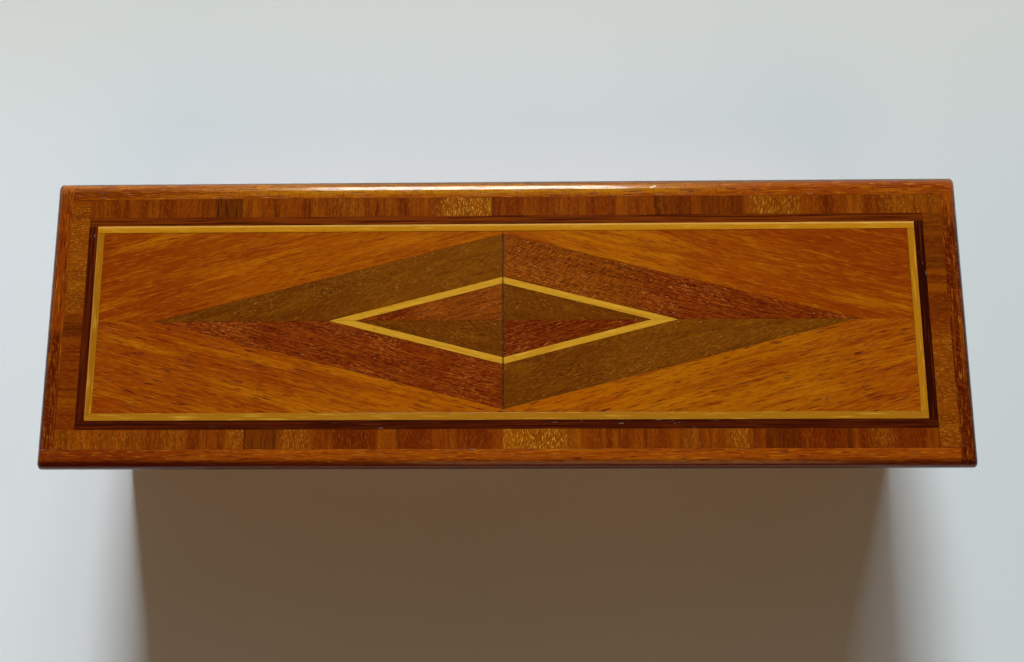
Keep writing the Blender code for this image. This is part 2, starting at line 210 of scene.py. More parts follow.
class Nodes:
    """A node tree that is built up in small steps."""

    def __init__(self, tree: bpy.types.NodeTree, place: str) -> None:
        """Take up a tree and split its coordinates into axes.

        Args:
            tree: The node tree.
            place: The coordinates that it works on.
        """
        self.nodes, self.links = tree.nodes, tree.links
        self.place = self.nodes.new("ShaderNodeTexCoord").outputs[place]
        self.axes = self.nodes.new("ShaderNodeSeparateXYZ")
        self.feed(self.axes.inputs[0], self.place)

    def feed(self, socket: Socket, value: object) -> None:
        """Give a socket a link, a colour or a number.

        Args:
            socket: The socket to fill.
            value: Another node's output, a linear colour or a number.
        """
        if isinstance(value, bpy.types.NodeSocket):
            self.links.new(value, socket)
        elif isinstance(value, tuple) and socket.type == "RGBA":
            socket.default_value = (*value, 1.0)
        else:
            socket.default_value = value

    def math(self, operation: str, *values: object) -> Socket:
        """Combine numbers.

        Args:
            operation: The Math node's operation.
            *values: Its inputs, links or numbers.

        Returns:
            The result's socket.
        """
        node = self.nodes.new("ShaderNodeMath")
        node.operation = operation
        for socket, value in zip(node.inputs, values):
            self.feed(socket, value)
        return node.outputs[0]

    def fade(self, value: Socket, low: float, high: float, falling: bool = False) -> Socket:
        """Fade a number smoothly from 0 to 1 between two levels.

        Args:
            value: The number.
            low: Where the change starts.
            high: Where it ends.
            falling: True to fade from 1 to 0 instead.

        Returns:
            The faded number's socket.
        """
        node = self.nodes.new("ShaderNodeMapRange")
        node.interpolation_type = "SMOOTHSTEP"
        ends = (1.0, 0.0) if falling else (0.0, 1.0)
        for socket, given in zip(node.inputs, (value, low, high, *ends)):
            self.feed(socket, given)
        return node.outputs[0]

    def mix(self, share: object, first: object, second: object) -> Socket:
        """Mix two colours.

        Args:
            share: How much of the second colour shows.
            first: The first colour or its socket.
            second: The second colour or its socket.

        Returns:
            The mixed colour's socket.
        """
        node = self.nodes.new("ShaderNodeMix")
        node.data_type = "RGBA"
        for socket, value in zip((node.inputs[0], node.inputs[6], node.inputs[7]), (share, first, second)):
            self.feed(socket, value)
        return node.outputs[2]

    def rays(self, *kinds: str) -> Socket:
        """Tell whether light arrives on any of some kinds of ray.

        Args:
            *kinds: The Light Path outputs, one or two.

        Returns:
            The socket that is 1 for such a ray.
        """
        path = self.nodes.new("ShaderNodeLightPath").outputs
        found = [path[kind] for kind in kinds]
        return found[0] if len(found) == 1 else self.math("MAXIMUM", *found)


class Graph(Nodes):
    """A finish's node graph, built up on Object coordinates."""

    ROUGHNESS: ClassVar[float] = 0.55
    PATCH_LEVELS: ClassVar[Point] = (0.42, 0.62)

    def __init__(self, name: str) -> None:
        """Start a material and find its shader.

        Args:
            name: The material's name.
        """
        self.material = bpy.data.materials.new(name)
        self.material.use_nodes = True
        super().__init__(self.material.node_tree, "Object")
        self.shader = self.nodes["Principled BSDF"]

    def set(self, **values: object) -> None:
        """Set the shader's sockets by their names, with _ for a space."""
        for name, value in values.items():
            self.feed(self.shader.inputs[name.replace("_", " ")], value)

    def grain(self, size: Point, turn: float, shift: Sequence[float], detail: float = 2.0,
              warp: float = 0.0) -> Socket:
        """Draw noise out along the grain.

        Args:
            size: The features' length along the grain and width across it.
            turn: The grain's turn from X about Z, in degrees.
            shift: Where the noise is taken from, so that no two are alike.
            detail: How many finer layers the noise has.
            warp: How far the noise is distorted.

        Returns:
            The noise's socket, about 0.5 on average.
        """
        mapping = self.nodes.new("ShaderNodeMapping")
        mapping.vector_type = "TEXTURE"
        length, width = size
        values = {"Location": Vector(shift), "Rotation": Euler((0.0, 0.0, math.radians(turn))),
                  "Scale": Vector((length, width, width)), "Vector": self.place}
        for name, value in values.items():
            self.feed(mapping.inputs[name], value)
        texture = self.nodes.new("ShaderNodeTexNoise")
        settings = {"Scale": 1.0, "Detail": detail, "Roughness": self.ROUGHNESS, "Distortion": warp,
                    "Vector": mapping.outputs[0]}
        for name, value in settings.items():
            self.feed(texture.inputs[name], value)
        return texture.outputs[0]

    def within(self, window: Window, shift: Sequence[float]) -> Socket:
        """Tell how far each point is inside a window whose edges wander.

        Args:
            window: The window.
            shift: Where the wandering is taken from in the noise.

        Returns:
            The socket that is 1 inside and 0 outside.
        """
        swing, half = 4 * (window.wander * MM), window.fade * MM / 2
        start, end = window.start * MM, window.end * MM
        wave = self.grain((swing + MM, swing + MM), 0.0, shift)
        strayed = self.math("MULTIPLY_ADD", wave, swing, -swing / 2)
        place = self.math("ADD", self.axes.outputs[window.axis.value], strayed)
        opened = self.fade(place, start - half, start + half)
        closed = self.fade(place, end - half, end + half, falling=True)
        return self.math("MULTIPLY", opened, closed)

    def cover(self, mark: Mark, turn: float, shift: Vector) -> Socket:
        """Work out how strongly a mark shows at each point.

        Args:
            mark: The mark.
            turn: The mark's turn from X about Z, in degrees.
            shift: The mark's own place in the noise.

        Returns:
            The mark's share, from 0 to its strength.
        """
        if mark.length:
            streaks = self.grain((mark.length * MM, mark.width * MM), turn, shift, mark.detail, mark.warp)
            share = self.math("MULTIPLY", self.fade(streaks, mark.low, mark.high), mark.strength)
        else:
            share = self.math("ADD", mark.strength, 0.0)
        if mark.region:
            length, width = mark.region
            patches = self.grain((length * MM, width * MM), turn, shift * 2)
            share = self.math("MULTIPLY", share, self.fade(patches, *self.PATCH_LEVELS))
        for index, window in enumerate(mark.windows):
            share = self.math("MULTIPLY", share, self.within(window, shift * (3 + index)))
        return share

    def relief(self, height: Socket) -> Socket:
        """Turn a height into a normal.

        Args:
            height: The height in millimetres.

        Returns:
            The normal's socket.
        """
        node = self.nodes.new("ShaderNodeBump")
        node.inputs["Distance"].default_value = MM
        self.feed(node.inputs["Height"], height)
        return node.outputs[0]


@dataclass(frozen=True)
class Finish:
    """A wood, metal or cloth: its ground colour, its marks and its polish."""

    slot: Slot
    ground: Colour
    marks: tuple[Mark, ...]
    polish: Polish = Polish()
    metallic: float = 0.0
    sheen: float = 0.0

    MARK_STEP: ClassVar[Place] = (0.37, 0.53, 0.71)
    CLOUD_SIZE: ClassVar[Point] = (9 * MM, 4 * MM)
    CLOUD_STEP: ClassVar[Place] = (0.2, 0.1, 0.3)
    FILLED_SHARE: ClassVar[float] = 0.35
    SHEEN_ROUGHNESS: ClassVar[float] = 0.4

    def dress(self, name: str, turn: float = 0.0, shift: Place = ORIGIN, extra: Sequence[Mark] = (),
              hand: int = 1) -> bpy.types.Material:
        """Make the material for one piece.

        Args:
            name: The piece's name.
            turn: The grain's turn from X about Z, in degrees.
            shift: The piece's own place in the board it was cut from.
            extra: Marks that only this piece has.
            hand: -1 where the leaf is turned over, so that its cross marks lean the other way.

        Returns:
            The finished material.
        """
        graph = Graph(f"{self.slot.value}_{name}")
        origin = Vector(shift)
        colour: object = tone(*self.ground)
        height: object = 0.0
        under = [mark for mark in extra if mark.under]
        over = [mark for mark in extra if not mark.under]
        for index, mark in enumerate((*under, *self.marks, *over), 1):
            share = graph.cover(mark, turn + hand * mark.turn, origin + Vector(self.MARK_STEP) * index)
            colour = graph.mix(share, colour, tone(*mark.colour))
            if mark.depth:
                height = graph.math("MULTIPLY_ADD", share, -mark.depth, height)
        polish = self.polish
        clouds = graph.grain(self.CLOUD_SIZE, turn, origin + Vector(self.CLOUD_STEP), 3.0)
        ripple_size = (polish.ripple_length * MM, polish.ripple_width * MM)
        wave = graph.grain(ripple_size, turn, origin, 1.0)
        surface = graph.math("MULTIPLY_ADD", wave, polish.ripple, height)
        filled = graph.math("MULTIPLY", height, self.FILLED_SHARE)
        film = graph.math("MULTIPLY_ADD", wave, polish.ripple, filled)
        graph.set(Base_Color=colour, Metallic=self.metallic,
                  Roughness=graph.math("MULTIPLY_ADD", clouds, polish.spread,
                                       polish.roughness - polish.spread / 2),
                  Normal=graph.relief(surface), Specular_IOR_Level=polish.specular,
                  Specular_Tint=polish.tint)
        if polish.coat:
            graph.set(Coat_Weight=polish.coat, Coat_Roughness=polish.coat_roughness,
                      Coat_Normal=graph.relief(film))
        if self.sheen:
            graph.set(Sheen_Weight=self.sheen, Sheen_Roughness=self.SHEEN_ROUGHNESS)
        return graph.material


# The woods of the box, its brass and its felt

PADAUK = Finish(Slot.PADAUK, (141, 70, 4), (
    Mark((124, 46, 4), 0.62, 50, 5, 0.46, 0.66, detail=4),
    Mark((170, 102, 6), 0.6, 36, 4, 0.5, 0.68, detail=3),
    Mark((114, 36, 4), 0.48, 14, 0.9, 0.5, 0.68, detail=4),
    Mark((178, 110, 10), 0.34, 12, 0.8, 0.52, 0.7, detail=4),
    Mark((104, 32, 4), 0.48, 2.6, 0.3, 0.51, 0.66),
    Mark((188, 122, 20), 0.28, 3.4, 0.3, 0.54, 0.7),
    Mark((80, 14, 3), 0.8, 5, 0.32, 0.65, 0.7, detail=1, depth=0.02, region=(16, 6)),
))

RED = Finish(Slot.RED, (104, 36, 6), (
    Mark((82, 20, 4), 0.55, 24, 1.6, 0.48, 0.7, detail=3),
    Mark((134, 62, 10), 0.45, 30, 2.6, 0.5, 0.72),
    Mark((80, 16, 4), 0.4, 6, 0.34, 0.5, 0.66),
    Mark((58, 9, 2), 0.55, 9, 0.34, 0.5, 0.66, detail=3),
    Mark((156, 78, 10), 0.5, 8, 0.32, 0.51, 0.66, turn=2, detail=3),
    Mark((196, 122, 52), 0.6, 1.3, 0.17, 0.58, 0.66, turn=6, detail=1, region=(14, 6)),
    Mark((172, 92, 26), 0.3, 1.8, 0.18, 0.54, 0.66, turn=-4, detail=1),
    Mark((44, 6, 2), 0.55, 1.9, 0.2, 0.51, 0.64, turn=2, detail=1, depth=0.01),
    Mark((158, 82, 18), 0.22, 1, 0.18, 0.54, 0.65, turn=-16, detail=1),
    # Painted glints: rare pale specks where the polish catches the light.
    Mark((226, 196, 160), 0.6, 0.8, 0.2, 0.83, 0.87, detail=0),
))

OLIVE = Finish(Slot.OLIVE, (95, 49, 5), (
    Mark((80, 38, 4), 0.5, 14, 2, 0.48, 0.68, detail=3),
    Mark((124, 75, 8), 0.45, 12, 2.2, 0.52, 0.72, detail=3),
    Mark((58, 22, 3), 0.42, 2, 0.24, 0.51, 0.66, turn=6, depth=0.01),
    Mark((146, 94, 22), 0.38, 1.6, 0.22, 0.52, 0.66, turn=10),
    Mark((70, 26, 4), 0.35, 1.2, 0.2, 0.52, 0.66, turn=-8),
    Mark((176, 126, 44), 0.34, 1.2, 0.2, 0.6, 0.67, turn=4, detail=1, region=(9, 5)),
    # Painted glints: rare pale specks where the polish catches the light.
    Mark((225, 205, 175), 0.5, 0.7, 0.24, 0.85, 0.89, detail=0),
))

VARIEGATED = Finish(Slot.VARIEGATED, (116, 52, 4), (
    Mark((86, 28, 3), 0.68, 60, 5, 0.46, 0.64),
    Mark((144, 78, 8), 0.5, 60, 3.4, 0.48, 0.68),
    Mark((74, 20, 3), 0.5, 30, 1.3, 0.54, 0.66, detail=3),
    Mark((82, 26, 3), 0.45, 12, 0.7, 0.52, 0.68, detail=3),
    Mark((70, 20, 3), 0.38, 1.8, 0.28, 0.51, 0.66),
    Mark((162, 92, 18), 0.32, 1.3, 0.26, 0.53, 0.68, turn=6),
))

ROSEWOOD = Finish(Slot.ROSEWOOD, (64, 20, 4), (
    Mark((40, 9, 3), 0.75, 30, 0.55, 0.45, 0.62, detail=3),
    Mark((104, 42, 10), 0.55, 16, 0.34, 0.53, 0.68),
    # Painted glints: rare pale specks where the polish catches the light.
    Mark((210, 190, 175), 0.55, 2.6, 0.16, 0.8, 0.85, detail=0, region=(30, 9)),
))

BOXWOOD = Finish(Slot.BOXWOOD, (184, 132, 24), (
    Mark((160, 106, 14), 0.5, 18, 0.7, 0.5, 0.7, detail=3),
    Mark((214, 168, 58), 0.45, 8, 0.5, 0.53, 0.72),
    Mark((136, 84, 14), 0.4, 2.2, 0.28, 0.6, 0.72, detail=1),
))

MAHOGANY = Finish(Slot.MAHOGANY, (138, 66, 6), (
    Mark((112, 42, 4), 0.55, 40, 2.4, 0.48, 0.68, detail=4),
    Mark((168, 98, 10), 0.5, 30, 1.8, 0.52, 0.7, detail=3),
    Mark((88, 22, 4), 0.6, 8, 0.5, 0.53, 0.67, detail=3),
    Mark((192, 122, 26), 0.45, 3.6, 0.36, 0.54, 0.69),
    Mark((58, 9, 3), 0.75, 5, 0.32, 0.62, 0.68, detail=1, depth=0.02),
), Polish(roughness=0.19, specular=0.17, coat=0.24, coat_roughness=0.06, ripple=0.01,
          ripple_length=6, ripple_width=1.2))

CORE = Finish(Slot.CORE, (196, 158, 112), (
    Mark((164, 120, 76), 0.7, 60, 3, 0.46, 0.66, detail=3),
    Mark((214, 182, 138), 0.5, 30, 1.2, 0.52, 0.72, detail=3),
    Mark((132, 88, 50), 0.55, 3, 0.22, 0.6, 0.7, detail=1, depth=0.03),
), Polish(roughness=0.62, spread=0.1, specular=0.35, coat=0, ripple=0.01))

BRASS = Finish(Slot.BRASS, (206, 168, 96), (
    Mark((150, 108, 52), 0.5, 5, 3, 0.48, 0.72, detail=4),
    Mark((232, 206, 140), 0.35, 6, 0.1, 0.54, 0.7, detail=1),
    Mark((84, 58, 30), 0.55, 1.4, 0.9, 0.62, 0.76, detail=3, depth=0.006),
), Polish(roughness=0.3, spread=0.16, specular=0.5, tint=(1, 1, 1), coat=0, ripple=0.004,
          ripple_length=4, ripple_width=0.08), metallic=1)

FELT = Finish(Slot.FELT, (164, 42, 44), (
    Mark((96, 14, 20), 0.6, 0.9, 0.5, 0.46, 0.68, detail=4, warp=1.5, depth=0.1),
    Mark((176, 66, 68), 0.45, 1.6, 0.12, 0.56, 0.72, turn=35, warp=1),
    Mark((160, 52, 54), 0.4, 1.4, 0.12, 0.56, 0.72, turn=-50, warp=1),
    Mark((132, 28, 32), 0.4, 18, 12, 0.46, 0.66, detail=3),
), Polish(roughness=0.95, spread=0.05, specular=0.1, coat=0, ripple=0.03,
          ripple_length=0.5, ripple_width=0.4), sheen=0.5)


# What single pieces show beyond their wood, including painted highlights, sheen, reflection and shade on the
# lid's edges


def ground_tint(colour: Colour, strength: float, *windows: Window) -> Mark:
    """Return an even tint of the ground, under the wood's own marks; on the lid's strips some of these tints
    are painted sheen and shade.
    """
    return Mark(colour, strength, windows=windows, under=True)


def shade(colour: Colour, strength: float, *windows: Window) -> Mark:
    """Return an even tint over the wood's own marks."""
    return Mark(colour, strength, windows=windows)


def tint(colour: Colour, strength: float, start: float, end: float, fade: float = 14) -> Mark:
    """Return an even tint of the ground between two places along X."""
    return ground_tint(colour, strength, Window(X, start, end, fade))


def gold_patch(axis: Axis, start: float, end: float, strength: float = 1,
               fade: float = 3) -> tuple[Mark, ...]:
    """Draw a golden, flecked patch in the crossbanding.

    Args:
        axis: The axis along which it starts and ends.
        start: Where it starts.
        end: Where it ends.
        strength: How strongly it shows.
        fade: How softly it ends.

    Returns:
        Its marks.
    """
    window = Window(axis, start, end, fade, 0.9)
    return (
        shade((146, 86, 6), 0.42 * strength, window),
        Mark((74, 28, 3), 0.5 * strength, 1.8, 0.2, 0.51, 0.63, 4, 2, windows=(window,)),
        Mark((222, 164, 56), 0.8 * strength, 1.1, 0.17, 0.56, 0.65, -5, 2, 0.2, windows=(window,)),
    )


def dark_patch(axis: Axis, start: float, end: float, strength: float = 0.7,
               fade: float = 1.6) -> tuple[Mark, Mark]:
    """Draw a dark olive patch in the crossbanding.

    Args:
        axis: The axis along which it starts and ends.
        start: Where it starts.
        end: Where it ends.
        strength: How strongly it shows.
        fade: How softly it ends.

    Returns:
        Its marks.
    """
    windows = (Window(axis, start, end, fade),)
    streaks = Mark((44, 16, 3), strength, 8, 0.5, 0.5, 0.66, windows=windows)
    return shade((74, 34, 3), 0.8 * strength, *windows), streaks


def red_patch(axis: Axis, start: float, end: float, strength: float = 0.4) -> Mark:
    """Return the mark of a plain reddish patch in the crossbanding."""
    return ground_tint((102, 35, 4), strength, Window(axis, start, end, 5))


FRONT_PORES = (
    Mark((72, 10, 3), 0.92, 6.5, 0.34, 0.64, 0.68, detail=1, depth=0.02),
    Mark((112, 32, 4), 0.45, 7, 1.1, 0.58, 0.69, detail=3),
)
CENTRE_GLOW = tint((172, 102, 5), 0.35, -46, 46, 34)
DIAMOND_STRING = ground_tint((189, 149, 42), 0.6)
MIDDLE_LINE = shade((34, 12, 4), 0.8, Window(X, -0.2, 0.2, 0.14, 0.04))

KIND_MARKS = {
    "field": (),
    "lozenge": (MIDDLE_LINE,),
    "diamond_string": (DIAMOND_STRING, MIDDLE_LINE),
    "inner_lozenge": (MIDDLE_LINE,),
}

VENEER_MARKS = {
    "crossband_back_1": (red_patch(X, -106, -96), *dark_patch(X, -73.4, -64.7, 0.8)),
    "crossband_back_2": (
        *dark_patch(X, -58.5, -57, 0.6, 0.6), *dark_patch(X, -51, -50.2, 0.6, 0.5),
        *gold_patch(X, -44, -36, 0.25), *gold_patch(X, -16, 12, 0.9, 7),
    ),
    "crossband_back_3": (
        red_patch(X, -2.8, 30), *dark_patch(X, 38.3, 39.6, 1, 0.5), *dark_patch(X, 40, 46, 0.35),
        *dark_patch(X, 50, 61, 0.4),
    ),
    "crossband_back_4": (*gold_patch(X, 62, 75, 0.55), *gold_patch(X, 94, 118, 0.3, 6)),
    "crossband_front_1": (
        *gold_patch(X, -111, -89, 0.25, 6), *gold_patch(X, -84, -78, 0.3), *gold_patch(X, -68, -62, 0.4),
    ),
    "crossband_front_2": (
        *dark_patch(X, -64, -55.2, 0.6), *gold_patch(X, -54.6, -46.8, 0.4), red_patch(X, -52, 10, 0.6),
        *dark_patch(X, -26, -25.2, 0.7, 0.4),
    ),
    "crossband_front_3": (
        *gold_patch(X, -20, 16, 0.9, 9), red_patch(X, 21, 40), *gold_patch(X, 43.5, 47.5, 0.3),
        *gold_patch(X, 55, 60, 0.5),
    ),
    "crossband_front_4": (
        tint((78, 24, 3), 0.55, 58, 108, 6), red_patch(X, 63, 106, 0.5), *dark_patch(X, 63, 72, 0.5),
        *dark_patch(X, 83.3, 84.3, 0.8, 0.4), *gold_patch(X, 89, 94, 0.3),
    ),
    "crossband_left": (*gold_patch(Y, 3, 30, 0.4), *dark_patch(Y, -3.4, 1.2, 0.5), red_patch(Y, -27, -6)),
    "crossband_right": (
        *dark_patch(Y, 12, 28, 0.4), *dark_patch(Y, 0.5, 4, 0.3), *gold_patch(Y, -32, -3, 0.35),
        red_patch(Y, -40, 40, 0.3),
    ),
    "dark_string_back": (ground_tint((120, 54, 8), 0.7), Mark((46, 10, 3), 0.5, 24, 0.36, 0.52, 0.64)),
    "dark_string_left": (ground_tint((96, 34, 6), 0.25),),
    "dark_string_right": (ground_tint((36, 8, 2), 0.85),),
    "yellow_string_front": (ground_tint((116, 70, 16), 0.56),),
    "yellow_string_left": (
        # The second mark is a painted highlight along the string's outer edge.
        ground_tint((112, 52, 3), 0.6), shade((232, 190, 110), 0.12, Window(X, -103.4, -102.75, 0.3, 0.1)),
    ),
    "yellow_string_right": (ground_tint((120, 60, 4), 0.45),),
    "yellow_string_back": (
        ground_tint((150, 94, 8), 0.32), shade((166, 108, 8), 0.4, Window(Y, 22.6, 23.4, 0.5, 0.1)),
        # Painted highlight along the string's outer edge.
        shade((236, 196, 112), 0.3, Window(Y, 24.15, 24.9, 0.3, 0.1)),
    ),
    "field_front_left": (*FRONT_PORES, tint((118, 40, 4), 0.35, -150, -78, 30), CENTRE_GLOW),
    "field_front_right": (*FRONT_PORES, CENTRE_GLOW, tint((166, 106, 5), 0.42, 30, 82, 24)),
    "field_back_right": (
        tint((112, 36, 4), 0.6, 72, 150, 30), tint((120, 46, 3), 0.22, 40, 150, 40),
        tint((164, 104, 5), 0.16, 6, 46, 20),
    ),
    "field_back_left": (tint((112, 34, 4), 0.6, -150, -74, 30), tint((150, 84, 5), 0.2, -46, 46, 34)),
    "lozenge_back_right": (
        tint((128, 68, 6), 0.6, -5, 34),
        Mark((60, 14, 3), 0.5, 1.8, 0.24, 0.5, 0.62, turn=-46, detail=1,
             windows=(Window(X, -5, 38, 16),)),
        Mark((176, 112, 24), 0.34, 1.6, 0.2, 0.54, 0.65, turn=-50, detail=1,
             windows=(Window(X, -5, 34, 16),)),
    ),
    "lozenge_back_left": (tint((122, 72, 8), 0.45, -36, 5),),
    "lozenge_front_right": (tint((116, 68, 8), 0.4, 26, 100),),
    "inner_lozenge_back_left": (tint((130, 72, 14), 0.6, -22, 5, 10),),
    "inner_lozenge_front_right": (tint((84, 22, 4), 0.6, -5, 60),),
}

# The rolled top edge of the lid's strips, where the painted shade and reflection lie.
ROLL = Window(Z, 41.7, 46, 1, 0.2)


def scratch_glint(x: float, y: float, length: float = 0.8, width: float = 0.24) -> Mark:
    """Return a short scratch in the polish, painted near-white as the highlight it catches, that starts at a
    place, in millimetres.
    """
    return shade((250, 238, 205), 0.85, Window(X, x, x + length, 0.3, 0.02),
                 Window(Y, y, y + width, 0.16, 0.02))


def waves(*windows: Window) -> tuple[Mark, ...]:
    """Draw the wavy cross marks of the strips at the ends.

    Args:
        *windows: Where they show.

    Returns:
        The marks.
    """
    return (
        Mark((150, 66, 22), 0.4, 1.8, 0.55, 0.5, 0.68, turn=64, warp=0.6, windows=windows),
        Mark((64, 12, 4), 0.45, 2.2, 0.6, 0.5, 0.68, turn=58, warp=0.6, windows=windows),
    )


# The lid's strips: their own tints and figure, with painted sheen, highlights, reflection and shade on their
# rolls.
LIPPING_MARKS = {
    Side.FRONT: (
        ground_tint((100, 30, 4), 0.7, Window(X, -160, -72, 60)),
        # Painted shade on the front roll, which faces away from the light, and a dark line along its outer
        # edge.
        shade((88, 22, 4), 0.6, Window(X, -160, -60, 70), Window(Y, -38, -34, 2.2, 0.2)),
        shade((84, 18, 4), 0.7, Window(Y, -38, -34.9, 2, 0.2), ROLL),
        shade((36, 10, 5), 0.75, Window(Y, -38, -36.1, 0.6, 0.1), ROLL),
    ),
    Side.RIGHT: (
        ground_tint((68, 14, 3), 0.88, Window(Y, -60, 27, 10)), *waves(),
        # Painted shade: a dark line along the roll at the lid's right edge.
        shade((36, 9, 4), 0.85, Window(X, 113.6, 117, 1.2, 0.2), ROLL),
    ),
    Side.BACK: (
        # Painted sheen: the back strip is golden and lighter where its roll tilts to the window and shines.
        ground_tint((160, 94, 6), 0.28, Window(Y, 32.4, 38, 1.6), Window(X, -160, 40, 40)),
        ground_tint((186, 136, 6), 0.46, Window(Y, 32.6, 38, 1.4), Window(X, -66, 44, 44)),
        # Painted shade on the outer part of the back roll.
        ground_tint((112, 64, 8), 0.6, Window(Y, 34.4, 38, 1.4, 0.2)),
        ground_tint((120, 50, 5), 0.6, Window(X, 72, 160, 24)),
        ground_tint((98, 40, 4), 0.75, Window(X, -160, -80, 36)),
        Mark((110, 44, 8), 0.45, 1.6, 0.45, 0.51, 0.66, turn=84),
        # Two scratches, painted as bright highlights where they catch the light.
        scratch_glint(37.4, 33.85), scratch_glint(38.1, 34.2),
        # Painted reflection: a dull brown band between the highlight and the roll's outer edge.
        shade((84, 58, 40), 0.6, Window(Y, 35.1, 38, 0.6, 0.2), Window(X, -50, 160, 40), ROLL),
        # Painted shade: a dark line along the back roll's outer edge.
        shade((40, 28, 14), 0.9, Window(Y, 35.8, 38, 0.5, 0.1), ROLL),
    ),
    Side.LEFT: (
        ground_tint((112, 45, 4), 0.75, Window(Y, 0, 38)), ground_tint((74, 18, 3), 0.9, Window(Y, -60, -1.5, 7)),
        # Painted light: the left strip's end at the back corner, rolled toward the window, is lighter; the
        # waves are the wood's own figure.
        ground_tint((142, 80, 8), 0.4, Window(Y, 31, 38, 7)), *waves(Window(Y, -38, -1, 5)),
        # Painted shade: a dark line along the roll at the lid's left edge.
        shade((36, 9, 4), 0.85, Window(X, -117, -113.6, 1.2, 0.2), ROLL),
    ),
}

WALL_MARKS = (
    Mark((96, 32, 4), 0.55, 170, 9, 0.47, 0.62, detail=4, warp=0.8),
    Mark((176, 104, 14), 0.35, 150, 6, 0.52, 0.66, detail=4, warp=0.8),
    Mark((70, 20, 4), 0.5, 60, 0.9, 0.58, 0.66, detail=3, warp=0.4),
    # Darker along the foot of each wall.
    shade((60, 24, 8), 0.45, Window(Z, -2, 1, 1.6, 0.8)),
    Mark((214, 170, 120), 0.35, 9, 0.14, 0.74, 0.79, turn=24, detail=0, region=(50, 20)),
)


# Making of the pieces


def slab(outline: Sequence[Point], low: float, high: float) -> Shape:
    """Raise a flat outline into a solid.

    Args:
        outline: The corners, anticlockwise.
        low: The level of its underside.
        high: The level of its face.

    Returns:
        The solid.
    """
    shape = bmesh.new()
    face = shape.faces.new([shape.verts.new((x, y, low)) for x, y in outline])
    grown = bmesh.ops.extrude_face_region(shape, geom=[face])["geom"]
    raised = [item for item in grown if isinstance(item, bmesh.types.BMVert)]
    bmesh.ops.translate(shape, verts=raised, vec=(0.0, 0.0, high - low))
    bmesh.ops.recalc_face_normals(shape, faces=shape.faces)
    return shape


def soften(shape: Shape, test: EdgeTest, offset: float, segments: int = 1) -> None:
    """Bevel some of a solid's edges.

    Args:
        shape: The solid.
        test: Says of an edge whether it is bevelled.
        offset: The bevel's width.
        segments: The bevel's steps.
    """
    chosen = [edge for edge in shape.edges if test(edge)]
    bmesh.ops.bevel(shape, geom=chosen, offset=offset, segments=segments, profile=0.5,
                    affect="EDGES", material=-1, clamp_overlap=False)


def level(edge: Edge, height: float) -> bool:
    """Tell whether an edge lies at a height."""
    return all(math.isclose(v.co.z, height, abs_tol=TOUCH) for v in edge.verts)


def put(name: str, data: bpy.types.ID) -> bpy.types.Object:
    """Put a mesh, a lamp or a camera in the scene.

    Args:
        name: The object's name.
        data: What it shows.

    Returns:
        The object.
    """
    holder = bpy.data.objects.new(name, data)
    bpy.context.scene.collection.objects.link(holder)
    return holder


def finish_piece(name: str, shape: Shape, body: Body, material: bpy.types.Material, slot: Slot,
                 *nodes: str) -> bpy.types.Object:
    """Turn a solid into a dressed piece that rides on a body.

    Args:
        name: The piece's name.
        shape: The solid, which is used up.
        body: The body that it moves with.
        material: Its material.
        slot: The record's slot that the material belongs to. Not used.
        *nodes: The model's nodes that it stands for.

    Returns:
        The piece.
    """
    mesh = bpy.data.meshes.new(name)
    shape.to_mesh(mesh)
    shape.free()
    mesh.shade_smooth()
    mesh.set_sharp_from_angle(angle=SHARP_FROM)
    mesh.materials.append(material)
    piece = put(name, mesh)
    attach(piece, body.value)
    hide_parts(*nodes)
    LOG.info("%s rides on %s", name, body.value)
    return piece


def redress(node: str, material: bpy.types.Material) -> None:
    """Give a node of the model a better material.

    Args:
        node: The node's name.
        material: Its new material.
    """
    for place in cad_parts[node].material_slots:
        place.material = material
    LOG.info("%s is dressed in %s", node, material.name)


def moved(step: Place, count: int, start: Place = ORIGIN) -> Place:
    """Return the place in a board that lies some steps on from a start."""
    return tuple(first + part * count for first, part in zip(start, step))


def span(x0: float, y0: float, x1: float, y1: float) -> list[Point]:
    """Return the corners of the rectangle between two opposite corners."""
    return [(x0, y0), (x1, y0), (x1, y1), (x0, y1)]


def draw_in(outline: Sequence[Point], gap: float) -> list[Point]:
    """Move each edge of an outline inwards.

    Args:
        outline: The corners, anticlockwise.
        gap: How far each edge moves.

    Returns:
        The smaller outline.
    """
    corners = [Vector(corner) for corner in outline]
    corners_in = []
    for before, here, after in zip([corners[-1], *corners], corners, [*corners[1:], corners[0]]):
        first, second = (here - before).normalized(), (after - here).normalized()
        inward = Vector((-first.y - second.y, first.x + second.x)).normalized()
        reach = gap / max(LEAST_COSINE, inward.dot(Vector((-first.y, first.x))))
        corners_in.append(tuple(here + inward * reach))
    return corners_in


